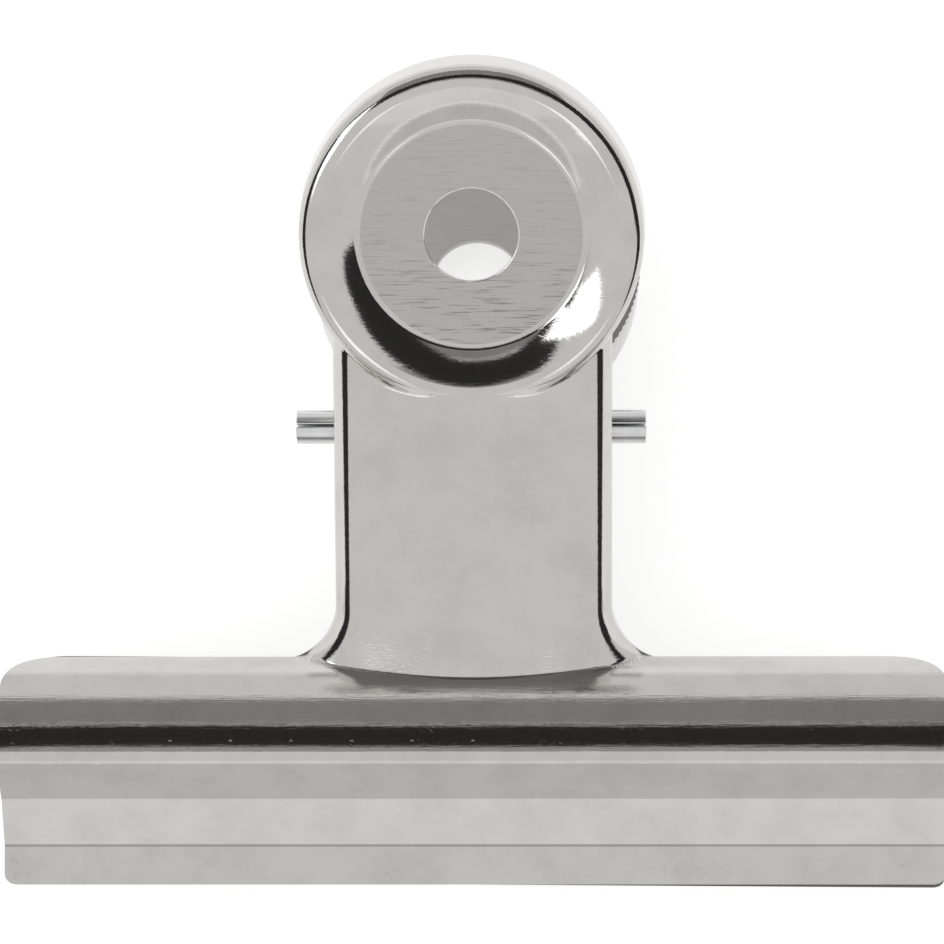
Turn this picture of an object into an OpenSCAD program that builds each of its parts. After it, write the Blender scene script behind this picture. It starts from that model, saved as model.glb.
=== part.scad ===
// Bulldog clip lying on its back: two pressed plates, a rolled hinge pin and a torsion spring.
// Millimetres. X runs along the jaws, Y from the lips to the thumb discs, Z up.
// Each plate is one sheet, bent along a path of straight runs and turns.
// The modules build the clip upright: lips at the bottom, Y out of the rear plate.

/* [Sheet] */
// Thickness of the pressed sheet
sheet = 0.55; // [0.4:0.05:0.8]
// Gap left between the two closed lips
lip_gap = 0.1; // [0.06:0.02:0.3]

/* [Jaw] */
// Length of the jaws
jaw_width = 75; // [50:1:110]
// Height of the flat lip
lip_height = 3.1; // [2:0.1:5]
// Length of the lower flank
low_flank = 4.2; // [3:0.1:6]
// Lean of the lower flank
low_flank_angle = 35; // [25:1:42]
// Length of the upper flank
high_flank = 4; // [3:0.1:6]
// Lean of the upper flank
high_flank_angle = 55; // [46:0.5:60]
// Outside radius of the bends beside the lip
lip_bend = 0.7; // [0.4:0.1:1.2]
// Outside radius of the shoulder bend
shoulder_radius = 1.4; // [0.9:0.1:2]
// Outside radius of the jaw's round back
back_radius = 8.7; // [7:0.1:10]
// Angle where the round back starts
back_start_angle = 3; // [0:1:8]
// Angle where the round back ends
back_end_angle = 70; // [60:1:75]
// Radius of the upper corners of the jaw
jaw_corner = 4.6; // [2:0.1:7]
// Radius of the lip's corners
lip_corner = 0.9; // [0.4:0.1:2]

/* [Handle] */
// Width across the front plate's ears
neck_width = 22; // [20:0.5:26]
// Lean of the handle away from the middle plane
handle_angle = 17.7; // [14:0.1:22]
// Distance from the middle plane to the neck's face, at the pin
handle_reach = 11.1; // [9.5:0.1:13]
// Radius of the crown across the neck's face
crown_radius = 38; // [30:1:80]
// Outside radius of the bend between the neck's face and its ears
ear_bend = 1.1; // [0.9:0.1:1.8]
// Radius of the flare where the neck meets the jaw
flare_radius = 4.4; // [2:0.1:6]
// Height of the pin above the lips
pivot_height = 36.7; // [33:0.1:42]
// Radius of the ear round the pin
ear_radius = 3.6; // [2.8:0.1:4.5]
// Side gap between the nested ears
ear_gap = 0.12; // [0.06:0.02:0.3]

/* [Thumb disc] */
// Distance from the pin to the disc's centre, along the handle
disc_reach = 13.75; // [13:0.05:18]
// Radius over the disc's free rim
rim_radius = 13.6; // [12:0.1:15]
// Depth of the free rim below the ring's crest
rim_depth = 5.8; // [4:0.1:7]
// Flare of the rim's wall
rim_flare = 10; // [4:1:14]
// Radius of the ring's outer shoulder
ring_outer = 0.5; // [0.4:0.05:1]
// Lean of the dish where it leaves the disc's outer edge
dish_start = 18; // [8:1:22]
// Radius of the dish's bulging slope, seen in section
dish_radius = 8; // [5:0.5:9]
// Fillet at the foot of the ring
ring_foot = 0.9; // [0.6:0.1:1.5]
// Slope of the ring's inner side
ring_slope = 40; // [34:1:42]
// Radius of the hanging hole
hole_radius = 3.65; // [2.5:0.05:5]

/* [Hinge pin] */
// Radius of the rolled pin
pin_radius = 1.35; // [1.1:0.05:1.6]
// Length of the pin
pin_length = 28.1; // [27:0.1:34]
// Thickness of the pin's rolled sheet
pin_sheet = 0.5; // [0.35:0.05:0.7]
// Width of the seam along the pin
pin_seam = 0.22; // [0.1:0.02:0.4]
// Radial clearance of the pin in the ears
pin_clearance = 0.06; // [0.03:0.01:0.1]

/* [Torsion spring] */
// Radius of the spring's wire
wire_radius = 0.7; // [0.5:0.05:0.8]
// Radial clearance between the pin and the coil
coil_clearance = 0.28; // [0.2:0.02:0.4]
// Least gap between neighbouring turns
turn_gap = 0.6; // [0.5:0.05:0.7]
// Gap between the coil's ends and the ears' bends
coil_end_gap = 0.3; // [0.2:0.05:0.8]
// Lean of the spring's arms away from the middle plane
arm_angle = 50; // [46:1:56]
// Gap between the arms and the handles
arm_gap = 0.25; // [0.15:0.05:0.5]
// Radius of the bend between an arm and its foot
foot_bend = 1.6; // [1:0.1:3]
// Length of the arm's foot along the handle
arm_foot = 2.4; // [1:0.2:4]

/* [Hidden] */
$fn = 96;
far = 60;
bend_error = 0.02;
coil_rings = 24;
wire_sides = 6;

// The jaw seen from its end. Each step is [straight run, turn, outside radius of the turn]
knee_turn = high_flank_angle - low_flank_angle;
lip_run = lip_height - lip_bend * tan(low_flank_angle / 2);
jaw_path = [
  [lip_run, -low_flank_angle, lip_bend],
  [low_flank, -knee_turn, lip_bend],
  [high_flank, high_flank_angle + back_start_angle, shoulder_radius],
  [0, back_end_angle - back_start_angle, back_radius]
];
jaw_start = [lip_gap / 2 + sheet, 0];
shoulder_from = ran(walk(jaw_path, 2), high_flank);
shoulder_centre = jaw_start + turn_centre(shoulder_from, shoulder_radius);
jaw_tip = walk(jaw_path, 4);
jaw_top = jaw_tip[1];
tip_normal = [cos(jaw_tip[2]), sin(jaw_tip[2])];
tip_way = [-sin(jaw_tip[2]), cos(jaw_tip[2])];
jaw_edge = jaw_start + [jaw_tip[0], jaw_tip[1]] - sheet / 4 * (tip_normal + tip_way);

// The rear plate's ears nest inside the front plate's ears
rear_neck_width = neck_width - 2 * (sheet + ear_gap);
inner_ear_width = rear_neck_width - 2 * sheet;

// The disc's section, from its free rim in to the hole
rim_run = (rim_depth - ring_outer * (1 - sin(rim_flare))) / cos(rim_flare);
crest_radius = rim_radius - rim_run * sin(rim_flare) - ring_outer * cos(rim_flare);
dish_run = dish_radius * (sin(ring_slope) - sin(dish_start));
flat_radius = crest_radius - ring_outer * sin(dish_start) - dish_run - ring_foot * sin(ring_slope);
disc_path = [
  [rim_run, 90 - rim_flare + dish_start, ring_outer],
  [0, ring_slope - dish_start, dish_radius],
  [0, -ring_slope, ring_foot],
  [flat_radius - hole_radius, 0, 1]
];

// The handle's own directions in the side view, along it and out of its face
along = [sin(handle_angle), cos(handle_angle)];
out = [cos(handle_angle), -sin(handle_angle)];
pivot = [0, pivot_height];
handle_base = [handle_reach, pivot_height];
pin_bore = pin_radius + pin_clearance;

// The spring's coil fills the room between the inner ears
wind_part = (180 - 2 * arm_angle) / 360;
coil_room = inner_ear_width - 2 * (ear_bend - sheet + coil_end_gap + wire_radius);
coil_turns = floor(coil_room / (2 * wire_radius + turn_gap) - wind_part);
coil_radius = pin_radius + coil_clearance + wire_radius;
arm_x = coil_room / 2;
arm_root = pivot + coil_radius * [cos(arm_angle), -sin(arm_angle)];
arm_way = [sin(arm_angle), cos(arm_angle)];
foot_level = inner_drop(arm_x + wire_radius) + arm_gap + wire_radius;
arm_reach = (-foot_level - (arm_root - handle_base) * out) / (arm_way * out);
foot_turn = arm_angle - handle_angle;
arm_run = arm_reach - foot_bend * tan(foot_turn / 2);
foot_centre = arm_root + arm_run * arm_way + foot_bend * [-cos(arm_angle), sin(arm_angle)];

// At rest the rear plate lies on its shoulder and on its disc's upper ring
ring_centre = handle_base + (disc_reach + crest_radius) * along - ring_outer * out;
rest_line = ring_centre - shoulder_centre;
rest_angle = acos((shoulder_radius - ring_outer) / norm(rest_line)) - atan2(rest_line[1], rest_line[0]);
rest_lift = shoulder_radius + shoulder_centre * [cos(rest_angle), -sin(rest_angle)];
rim_tip = handle_base + (disc_reach + rim_radius) * along - rim_depth * out;
rest_ahead = [sin(rest_angle), cos(rest_angle)];
rest_middle = (rim_tip * rest_ahead - jaw_start[0] * sin(rest_angle)) / 2;

// Place of a point of the side view at rest, rear side positive
function lying(point) = [
  0,
  point * rest_ahead - rest_middle,
  rest_lift - point * [cos(rest_angle), -sin(rest_angle)]
];

// How far the face's inner side lies below the crest of its crown
function inner_drop(x) = crown_radius - sqrt(pow(crown_radius - sheet, 2) - x * x);

// Position and heading after some steps of a path
function walk(path, steps, k = 0, at = [0, 0, 0]) =
  k == steps ? at : walk(path, steps, k + 1, turned(ran(at, path[k][0]), path[k], 1));

function ran(at, run) = [at[0] - run * sin(at[2]), at[1] + run * cos(at[2]), at[2]];

function turn_centre(at, radius) = [at[0] - radius * cos(at[2]), at[1] - radius * sin(at[2])];

// Position and heading after a part of one turn
function turned(at, move, part) =
  let (
    side = move[1] < 0 ? -1 : 1,
    centre = turn_centre(at, side * move[2]),
    heading = at[2] + part * move[1]
  )
  [
    centre[0] + side * move[2] * cos(heading),
    centre[1] + side * move[2] * sin(heading),
    heading
  ];

// Pieces that a turn needs, so that no chord strays far from its arc
function pieces(move) =
  move[1] == 0 ? 0 : ceil(abs(move[1]) / min(16, 2 * acos(1 - bend_error / move[2])));

// Every position on the sheet's outside face, from start to end
function stations(path) = [
  [0, 0, 0],
  for (k = [0 : len(path) - 1])
    let (
      move = path[k],
      from = ran(walk(path, k), move[0]),
      count = pieces(move)
    )
    each concat(
      move[0] > 0 ? [from] : [],
      [for (i = 1; i <= count; i = i + 1) turned(from, move, i / count)]
    )
];

function outside(path) = [for (p = stations(path)) [p[0], p[1]]];

// The same positions, some depth into the sheet or through it
function inside(path, depth = sheet) = [
  for (p = stations(path)) [p[0] - depth * cos(p[2]), p[1] - depth * sin(p[2])]
];

function reversed(points) = [for (i = [len(points) - 1 : -1 : 0]) points[i]];

// Where a line from a point brushes past a circle, on one side
function brush(point, centre, radius, side) =
  let (
    away = point - centre,
    turn = atan2(away[1], away[0]) + side * acos(radius / norm(away))
  )
  centre + radius * [cos(turn), sin(turn)];

// The spring's wire, from the rear foot round the coil to the front foot
function arm_points() = [
  foot_centre + foot_bend * [cos(handle_angle), -sin(handle_angle)] + arm_foot * along,
  for (i = [0 : 3])
    let (turn = handle_angle + foot_turn * i / 3)
    foot_centre + foot_bend * [cos(turn), -sin(turn)]
];

function coil_points() =
  let (count = round(coil_rings * (coil_turns + wind_part)))
  [
    for (i = [0 : count])
      let (turn = -arm_angle - 360 * (coil_turns + wind_part) * i / count)
      [
        arm_x * (2 * i / count - 1),
        coil_radius * cos(turn),
        pivot_height + coil_radius * sin(turn)
      ]
  ];

function wire_points() = concat(
  [for (p = arm_points()) [-arm_x, p[0], p[1]]],
  coil_points(),
  [for (p = reversed(arm_points())) [arm_x, -p[0], p[1]]]
);

// Least gap between parts of the wire that are over half a turn apart
function least_gap(points) = min([
  for (i = [0 : len(points) - 1])
    for (j = [i + coil_rings / 2 : 1 : len(points) - 1])
      norm(points[i] - points[j])
]) - 2 * wire_radius;

// Turns a section in Y and Z into a bar along X
module along_x(length) {
  rotate([90, 0, 90])
    linear_extrude(length, center = true)
      children();
}

// Frame of the handle: Y out of its face, Z along it from the pin's height
module on_handle() {
  translate([0, handle_reach, pivot_height])
    rotate([-handle_angle, 0, 0])
      children();
}

// Frame of the disc: Z out of its face, from the crest of its ring
module on_disc() {
  on_handle()
    translate([0, 0, disc_reach])
      rotate([-90, 0, 0])
        children();
}

// A sheet bent along a path, its outside face on the path's right
module bent_sheet(path) {
  polygon(concat(outside(path), reversed(inside(path))));
}

// Height on the jaw's back, some way along the sheet from its top edge
function back_height(way) =
  jaw_top + back_radius * (sin(back_end_angle - way / back_radius * 180 / PI) - sin(back_end_angle));

// What is left outside the arc of the jaw's top corner, which is round on the sheet itself
module top_corner_waste() {
  corner = jaw_width / 2 - jaw_corner;
  polygon(concat(
    [for (turn = [0 : 10 : 90]) [corner + jaw_corner * cos(turn), back_height(jaw_corner * (1 - sin(turn)))]],
    [[corner, far], [far, far], [far, back_height(jaw_corner)]]
  ));
}

// What is left outside the arc of the lip's corner
module lip_corner_waste() {
  translate([jaw_width / 2 - lip_corner, lip_corner])
    mirror([0, 1])
      difference() {
        square(lip_corner + 2);
        circle(lip_corner);
      }
}

module jaw() {
  difference() {
    along_x(jaw_width)
      translate(jaw_start)
        bent_sheet(jaw_path);
    for (side = [0, 1]) {
      mirror([side, 0, 0])
        rotate([90, 0, 0])
          linear_extrude(2 * far, center = true) {
            top_corner_waste();
            lip_corner_waste();
          }
    }
  }
}

// The space behind the jaw. Each hollow ends half way into its sheet, where the pieces join
module jaw_hollow() {
  along_x(jaw_width)
    translate(jaw_start)
      polygon(inside(jaw_path, sheet / 2));
}

// Path across the neck: ear, bend, crowned face, bend, ear
function neck_path(width, ear) =
  let (spread = asin((width / 2 - ear_bend) / (crown_radius - ear_bend)))
  [
    [ear, 90 - spread, ear_bend],
    [0, 2 * spread, crown_radius],
    [0, 90 - spread, ear_bend],
    [ear, 0, 1]
  ];

// Level of the centres of the neck's two bends. The crown's crest lies a little below the disc's ring
function bend_level(width) =
  sqrt(pow(crown_radius - ear_bend, 2) - pow(width / 2 - ear_bend, 2)) - crown_radius - 0.1 * sheet;

module neck_sheet(width) {
  ear = handle_reach + 3 * ear_radius;
  translate([width / 2, bend_level(width) - ear])
    bent_sheet(neck_path(width, ear));
}

module neck_space(width) {
  ear = handle_reach + 3 * ear_radius;
  translate([width / 2, bend_level(width) - ear])
    polygon(inside(neck_path(width, ear), sheet / 2));
}

// The space inside the neck, from the jaw's shoulder to the disc's centre
module neck_hollow(width) {
  below = (pivot_height - shoulder_centre[1]) / cos(handle_angle);
  on_handle()
    translate([0, 0, -below])
      linear_extrude(below + disc_reach)
        neck_space(width);
}

// Side view of the neck down to the ears' free edges
module ear_outline() {
  leg_cut = sqrt(pow(rim_radius, 2) - pow(neck_width / 2, 2)) - sheet;
  high = handle_base + (disc_reach - leg_cut) * along - 0.8 * rim_depth * out;
  touch = 0.97 * ear_radius;
  polygon([
    jaw_edge,
    brush(jaw_edge, pivot, touch, -1),
    pivot,
    brush(high, pivot, touch, 1),
    high,
    high + [far, far / 3],
    jaw_edge + [far, -far / 4],
    jaw_edge + [0, -far / 4]
  ]);
}

module ear_region() {
  along_x(jaw_width)
    ear_outline();
  translate(concat(0, pivot))
    rotate([0, 90, 0])
      cylinder(jaw_width, ear_radius, ear_radius, center = true);
}

module disc_drum(radius) {
  on_disc()
    cylinder(2 * far, radius, radius, center = true);
}

module neck(width) {
  difference() {
    intersection() {
      on_handle()
        translate([0, 0, -pivot_height])
          linear_extrude(pivot_height + disc_reach)
            neck_sheet(width);
      ear_region();
    }
    disc_drum(crest_radius);
    disc_hollow();
    jaw_hollow();
  }
}

// The corner between the ear and the jaw's top edge. It starts a little way inside both walls,
// so that they run into each other
module flare(width) {
  tip = (jaw_edge - handle_base) * along;
  sunk = 0.25 * sheet;
  size = flare_radius + sheet;
  on_handle()
    translate([width / 2 + flare_radius - sunk, bend_level(width) + 0.6 * ear_bend, tip + flare_radius - sunk])
      rotate([90, 0, 0])
        difference() {
          linear_extrude(2 * flare_radius)
            difference() {
              translate([-size, -size])
                square(size);
              circle(flare_radius);
            }
          translate([0, 0, sheet])
            linear_extrude(2 * flare_radius)
              difference() {
                translate([-2 * size, -2 * size])
                  square(2 * size + 1);
                circle(flare_radius + sheet);
              }
        }
}

module flares(width) {
  difference() {
    intersection() {
      union() {
        flare(width);
        mirror([1, 0, 0])
          flare(width);
      }
      ear_region();
    }
    neck_hollow(width);
    jaw_hollow();
  }
}

module thumb_disc() {
  on_disc()
    rotate_extrude()
      translate([rim_radius, -rim_depth])
        rotate(rim_flare)
          bent_sheet(disc_path);
}

// The space behind the disc, with its rim
module disc_hollow() {
  on_disc()
    rotate_extrude()
      translate([rim_radius, -rim_depth])
        rotate(rim_flare)
          polygon(concat(inside(disc_path, sheet / 2), [[-crest_radius, -1]]));
}

module plate(width) {
  difference() {
    union() {
      difference() {
        jaw();
        neck_hollow(width);
      }
      neck(width);
      flares(width);
      difference() {
        thumb_disc();
        difference() {
          neck_hollow(width);
          disc_drum(crest_radius + sheet / 2);
        }
      }
    }
    translate([0, 0, pivot_height])
      rotate([0, 90, 0])
        cylinder(2 * far, pin_bore, pin_bore, center = true);
  }
}

// Lays the upright clip on its back, centred over its own footprint
module at_rest() {
  translate([0, -rest_middle, rest_lift])
    rotate([rest_angle - 90, 0, 0])
      children();
}

module front_plate() {
  color("#c9c8c4")
    at_rest()
      mirror([0, 1, 0])
        plate(neck_width);
}

module rear_plate() {
  color("#b3b2ae")
    at_rest()
      plate(rear_neck_width);
}

module hinge_pin() {
  color("#e0dfdb")
    at_rest()
      translate([0, 0, pivot_height])
        along_x(pin_length)
          difference() {
            circle(pin_radius);
            circle(pin_radius - pin_sheet);
            translate([-2 * pin_radius, -pin_seam / 2])
              square([2 * pin_radius, pin_seam]);
          }
}

// One unbroken tube through the wire's points
module torsion_spring() {
  line = wire_points();
  last = len(line) - 1;
  rings = [
    for (i = [0 : last])
      let (
        step = line[min(i + 1, last)] - line[max(i - 1, 0)],
        way = step / norm(step),
        side = cross(way, [1, 0, 0]),
        radial = side / norm(side),
        across = cross(radial, way)
      )
      for (s = [0 : wire_sides - 1])
        line[i] + wire_radius * (
          cos(360 * s / wire_sides) * radial + sin(360 * s / wire_sides) * across
        )
  ];
  walls = [
    for (i = [0 : last - 1])
      for (s = [0 : wire_sides - 1])
        let (
          a = i * wire_sides + s,
          b = i * wire_sides + (s + 1) % wire_sides
        )
        each [[a, b, a + wire_sides], [b, b + wire_sides, a + wire_sides]]
  ];
  ends = [
    for (s = [1 : wire_sides - 2])
      each [[0, s + 1, s], last * wire_sides * [1, 1, 1] + [0, s, s + 1]]
  ];
  color("#8d8c88")
    at_rest()
      polyhedron(rings, concat(walls, ends));
}

echo(least_gap_of_wire = least_gap(wire_points()));
echo(pivot_at_rest = lying(pivot));
echo(rest_angle = rest_angle, handle_angle = handle_angle);

front_plate();
rear_plate();
hinge_pin();
torsion_spring();
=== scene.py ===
import math
import bpy
import bmesh
from mathutils import Matrix, Vector


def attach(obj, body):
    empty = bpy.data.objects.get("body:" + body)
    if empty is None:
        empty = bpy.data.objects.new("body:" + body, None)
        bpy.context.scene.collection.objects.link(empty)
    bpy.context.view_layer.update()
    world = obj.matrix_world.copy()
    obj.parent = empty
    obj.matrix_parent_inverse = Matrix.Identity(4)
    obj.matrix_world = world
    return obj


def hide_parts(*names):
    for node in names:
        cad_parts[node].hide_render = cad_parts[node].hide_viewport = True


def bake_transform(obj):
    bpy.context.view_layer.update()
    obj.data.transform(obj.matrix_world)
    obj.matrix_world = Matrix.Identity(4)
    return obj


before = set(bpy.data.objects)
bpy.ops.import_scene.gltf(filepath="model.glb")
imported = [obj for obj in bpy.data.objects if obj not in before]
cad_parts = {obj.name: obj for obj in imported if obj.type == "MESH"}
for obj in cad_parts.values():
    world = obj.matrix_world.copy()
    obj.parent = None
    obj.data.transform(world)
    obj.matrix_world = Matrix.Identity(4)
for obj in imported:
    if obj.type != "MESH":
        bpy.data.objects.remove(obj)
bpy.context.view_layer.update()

# The pieces are modelled in millimetres and turned to metres when they are placed
mm = 0.001

# Where the upright clip lies at rest: tilt of its middle plane and place of the pin's axis
rest = {"tilt": 12.974, "pivot": (0.0, 2.8354, 12.9529), "pivotHeight": 36.7}

# The handle's own frame: a point on its crest at the pin's height, and its lean
handle = {"reach": 11.1, "angle": 17.7}


def deg(angle):
    return math.radians(angle)


def clipToRow(side):
    # local x across, y out of the plate, z up from the lips
    # side is 1 for the rear plate and -1 for the front plate
    tilt = deg(rest["tilt"])
    upright = Matrix((
        (side, 0, 0, 0),
        (0, side * math.sin(tilt), math.cos(tilt), 0),
        (0, -side * math.cos(tilt), math.sin(tilt), 0),
        (0, 0, 0, 1),
    ))
    place = Matrix.Translation(Vector(rest["pivot"]))
    drop = Matrix.Translation((0, 0, -rest["pivotHeight"]))
    return Matrix.Scale(mm, 4) @ place @ upright @ drop


def handleToClip():
    # x across, y along the handle, z out of its face
    lean = deg(handle["angle"])
    return Matrix((
        (-1, 0, 0, 0),
        (0, math.sin(lean), math.cos(lean), handle["reach"]),
        (0, math.cos(lean), -math.sin(lean), rest["pivotHeight"]),
        (0, 0, 0, 1),
    ))


# Mesh helpers

weldGap = 0.0005  # points closer than this are merged


def smoothStep(t):
    t = min(max(t, 0.0), 1.0)
    return t * t * (3 - 2 * t)


def vertsOf(geometry):
    return [g for g in geometry if isinstance(g, bmesh.types.BMVert)]


def edgesOf(geometry):
    return [g for g in geometry if isinstance(g, bmesh.types.BMEdge)]


def drawBentLine(bm, start, heading, moves, fine):
    # a line in the YZ plane; each move is a straight run, then a turn to the left with its radius
    tip = bmesh.ops.create_vert(bm, co=(0, start[0], start[1]))["vert"][0]
    centre = None
    for run, turn, radius in moves:
        if run > 0:
            way = Vector((0, -math.sin(deg(heading)), math.cos(deg(heading))))
            grown = bmesh.ops.extrude_vert_indiv(bm, verts=[tip])["verts"][0]
            bmesh.ops.translate(bm, verts=[grown], vec=way * run)
            tip = grown
        if turn:
            side = 1 if turn > 0 else -1
            right = Vector((0, math.cos(deg(heading)), math.sin(deg(heading))))
            centre = tip.co - side * radius * right
            steps = max(1, math.ceil(abs(turn) / fine))
            spun = bmesh.ops.spin(bm, geom=[tip], cent=centre, axis=(1, 0, 0), angle=deg(turn),
                                  steps=steps, dvec=(0, 0, 0), use_merge=False, use_duplicate=False)
            tip = vertsOf(spun["geom_last"])[0]
            heading += turn
    return tip, centre


def pull(bm, edges, vec):
    # drags a copy of some edges out into a wall, and gives the copy's points and edges
    grown = bmesh.ops.extrude_edge_only(bm, edges=edges)["geom"]
    verts = vertsOf(grown)
    bmesh.ops.translate(bm, verts=verts, vec=vec)
    return verts, [e for e in edgesOf(grown) if e.verts[0] in verts and e.verts[1] in verts]


def faceOutwards(bm, towards):
    # an open skin gets all its normals on the side of one direction
    bmesh.ops.recalc_face_normals(bm, faces=bm.faces)
    lean = sum((f.normal.dot(towards) * f.calc_area() for f in bm.faces), 0.0)
    if lean < 0:
        bmesh.ops.reverse_faces(bm, faces=bm.faces)


def linkMesh(name, bm):
    mesh = bpy.data.meshes.new(name)
    bm.to_mesh(mesh)
    bm.free()
    made = bpy.data.objects.new(name, mesh)
    bpy.context.scene.collection.objects.link(made)
    return made


def finishPiece(name, bm, place, body, node):
    # a piece with no body is not attached to any body
    bm.transform(place)
    for face in bm.faces:
        face.smooth = True
    piece = linkMesh(name, bm)
    if body:
        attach(piece, body)
    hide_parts(node)
    return piece


# Sheet steel: wall, width of the rounded edge, and the angle from which an edge is rounded
sheet = {"thickness": 0.55, "edge": 0.1, "edgeAngle": 50}


def giveThickness(piece, thickness, edge, inner=1, segments=2):
    # inner is how many slots further on the inside's material lies
    wall = piece.modifiers.new("wall", "SOLIDIFY")
    wall.thickness = thickness * mm
    wall.offset = -1
    wall.use_even_offset = True
    wall.use_quality_normals = True
    wall.material_offset = inner
    rounding = piece.modifiers.new("edge", "BEVEL")
    rounding.width = edge * mm
    rounding.segments = segments
    rounding.limit_method = "ANGLE"
    rounding.angle_limit = deg(sheet["edgeAngle"])
    rounding.use_clamp_overlap = True
    rounding.harden_normals = True


# Jaw: lip, two flanks, shoulder and rounded back. The last two rows are looks: a thin line of painted
# shade at the lip's bend, and the rear jaw's turn about a point at the lips with painted shade on its
# inner edge
jaw = {
    "width": 75, "lipHeight": 3.1, "lipGap": 0.1, "lipBend": 0.7, "lowFlank": 4.2, "lowAngle": 35,
    "highFlank": 4.0, "highAngle": 55, "shoulder": 1.4, "back": 8.7, "backStart": 3, "backEnd": 70,
    "topCorner": 4.6, "topFrom": 11, "lipCorner": 0.9, "nearBend": 0.08, "bendStep": 2.5,
    "endColumns": 6, "endRoll": 0.03, "rollFrom": 9.6, "rollRun": 3,
    "lineShade": 0.5, "lineWidth": 0.09,
    "rearSkew": -0.4, "skewCentre": -32.9, "edgeShade": 0.9, "edgeFrom": 0.35, "edgeRun": 0.5,
}


def jawMoves():
    # rows lie closer at both rounded corners and beside the bends
    corner = jaw["topCorner"]
    lip = jaw["lipCorner"]
    lipSteps = [lip * (1 - math.sin(deg(t))) for t in (90, 65, 40, 20, 0)]
    topSteps = [corner * (1 - math.sin(deg(t))) for t in range(0, 91, 9)]
    toAngle = 180 / math.pi / jaw["back"]
    lipRun = jaw["lipHeight"] - jaw["lipBend"] * math.tan(deg(jaw["lowAngle"] / 2))
    moves = [(b - a, 0, 0) for a, b in zip(lipSteps, lipSteps[1:])]
    near = jaw["nearBend"]
    moves.append((lipRun - lip - near, 0, 0))
    moves.append((near, -jaw["lowAngle"], jaw["lipBend"]))
    moves.append((near, 0, 0))
    moves.append((jaw["lowFlank"] - near, jaw["lowAngle"] - jaw["highAngle"], jaw["lipBend"]))
    moves.append((jaw["highFlank"], jaw["highAngle"] + jaw["backStart"], jaw["shoulder"]))
    moves.append((0, jaw["backEnd"] - jaw["backStart"] - corner * toAngle, jaw["back"]))
    moves += [(0, (a - b) * toAngle, jaw["back"]) for a, b in zip(topSteps, topSteps[1:])]
    return moves


def roundedEnd(radius, left):
    # how far out a row reaches inside a rounded corner
    return jaw["width"] / 2 - radius + math.sqrt(max(radius ** 2 - left ** 2, 0))


def makeJaw(name, side, body, node, skew=0):
    bm = bmesh.new()
    start = (jaw["lipGap"] / 2 + sheet["thickness"], 0)
    tip, centre = drawBentLine(bm, start, 0, jawMoves(), jaw["bendStep"])
    top = tip.co.copy()
    centre = centre.copy()
    half = jaw["width"] / 2
    line = bm.edges[:]
    bmesh.ops.translate(bm, verts=bm.verts, vec=(-half, 0, 0))
    pull(bm, line, (2 * half, 0, 0))
    across = [e for e in bm.edges if abs(e.verts[0].co.x - e.verts[1].co.x) > half]
    count = jaw["endColumns"]
    bmesh.ops.subdivide_edges(bm, edges=across, cuts=2 * count, use_grid_fill=True)
    paintedShadeLayer = bm.verts.layers.float.new("paintedShade")
    shadeLayer = bm.verts.layers.float.new("inside")
    # columns gather at the ends, follow the corners' arcs there and roll back a little
    for v in bm.verts:
        sign = 1 if v.co.x > 0 else -1
        column = round((half - abs(v.co.x)) / (2 * half) * (2 * count + 1))
        part = column / count
        offset = Vector((v.co.y - centre.y, v.co.z - centre.z))
        along = jaw["back"] * (deg(jaw["backEnd"]) - math.atan2(offset.y, offset.x))
        end = half
        if v.co.z > jaw["topFrom"] and along < jaw["topCorner"]:
            end = roundedEnd(jaw["topCorner"], jaw["topCorner"] - max(along, 0))
        elif v.co.z < jaw["lipCorner"]:
            end = roundedEnd(jaw["lipCorner"], jaw["lipCorner"] - v.co.z)
        # painted shade: a thin dark line along the lip's bend, held in an attribute that darkens the
        # outer material
        fromBend = (v.co.z - jaw["lipHeight"]) / jaw["lineWidth"]
        v[paintedShadeLayer] = jaw["lineShade"] * math.exp(-fromBend ** 2)
        # painted shade: the rear jaw's inner face darkens towards the lips' edge
        if skew:
            fromEdge = (v.co.z - jaw["edgeFrom"]) / jaw["edgeRun"]
            v[shadeLayer] = jaw["edgeShade"] * (1 - smoothStep(fromEdge))
        inner = half - jaw["topCorner"]
        v.co.x = sign * (end + (inner - end) * part)
        out = (abs(v.co.x) - inner) / jaw["topCorner"]
        roll = jaw["endRoll"] * out * out * smoothStep((v.co.z - jaw["rollFrom"]) / jaw["rollRun"])
        v.co.yz -= offset.normalized() * roll
    faceOutwards(bm, Vector((0, 1, 0.2)))
    lips = Vector((0, jaw["skewCentre"] * mm, 0))
    askew = Matrix.Translation(lips) @ Matrix.Rotation(deg(skew), 4, "Z") @ Matrix.Translation(-lips)
    piece = finishPiece(name, bm, askew @ clipToRow(side), body, node)
    giveThickness(piece, sheet["thickness"], sheet["edge"])
    return piece, (centre.y, centre.z), (top.y, top.z)


frontJaw, backCentre, jawTop = makeJaw("front_jaw", -1, "front_half", "front_plate")
rearJaw, _, _ = makeJaw("rear_jaw", 1, "rear_half", "rear_plate", jaw["rearSkew"])
print("stage: jaws, back centre", backCentre, "top", jawTop)

# Thumb disc: flared rim with its rows from the free edge up, dished face and flat middle with its hole
disc = {
    "reach": 13.75, "rimRadius": 13.6, "rimDepth": 5.8, "flare": 2, "outer": 1.3, "inner": 1.2,
    "dishStart": 20, "dish": 10.4, "slope": 35.8, "lip": 0.3, "lipSlope": 37, "foot": 0.8,
    "recess": 1.6, "hole": 3.65, "rimRows": (0.07, 0.07, 0.07, 0.07, 0.3, 0.42), "bendStep": 4.5,
    "ripples": 135, "rippleDepth": 1.5, "frontRipple": 0.004, "rearRipple": 0.05,
    "frontSteps": 270, "rearSteps": 540,
}

# The face's bends from the crest inwards: radius, slope before and slope after
faceBends = (
    (disc["inner"], 0, disc["dishStart"]),
    (disc["dish"], disc["dishStart"], disc["slope"]),
    (disc["lip"], disc["slope"], disc["lipSlope"]),
    (disc["foot"], disc["lipSlope"], 0),
)

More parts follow.
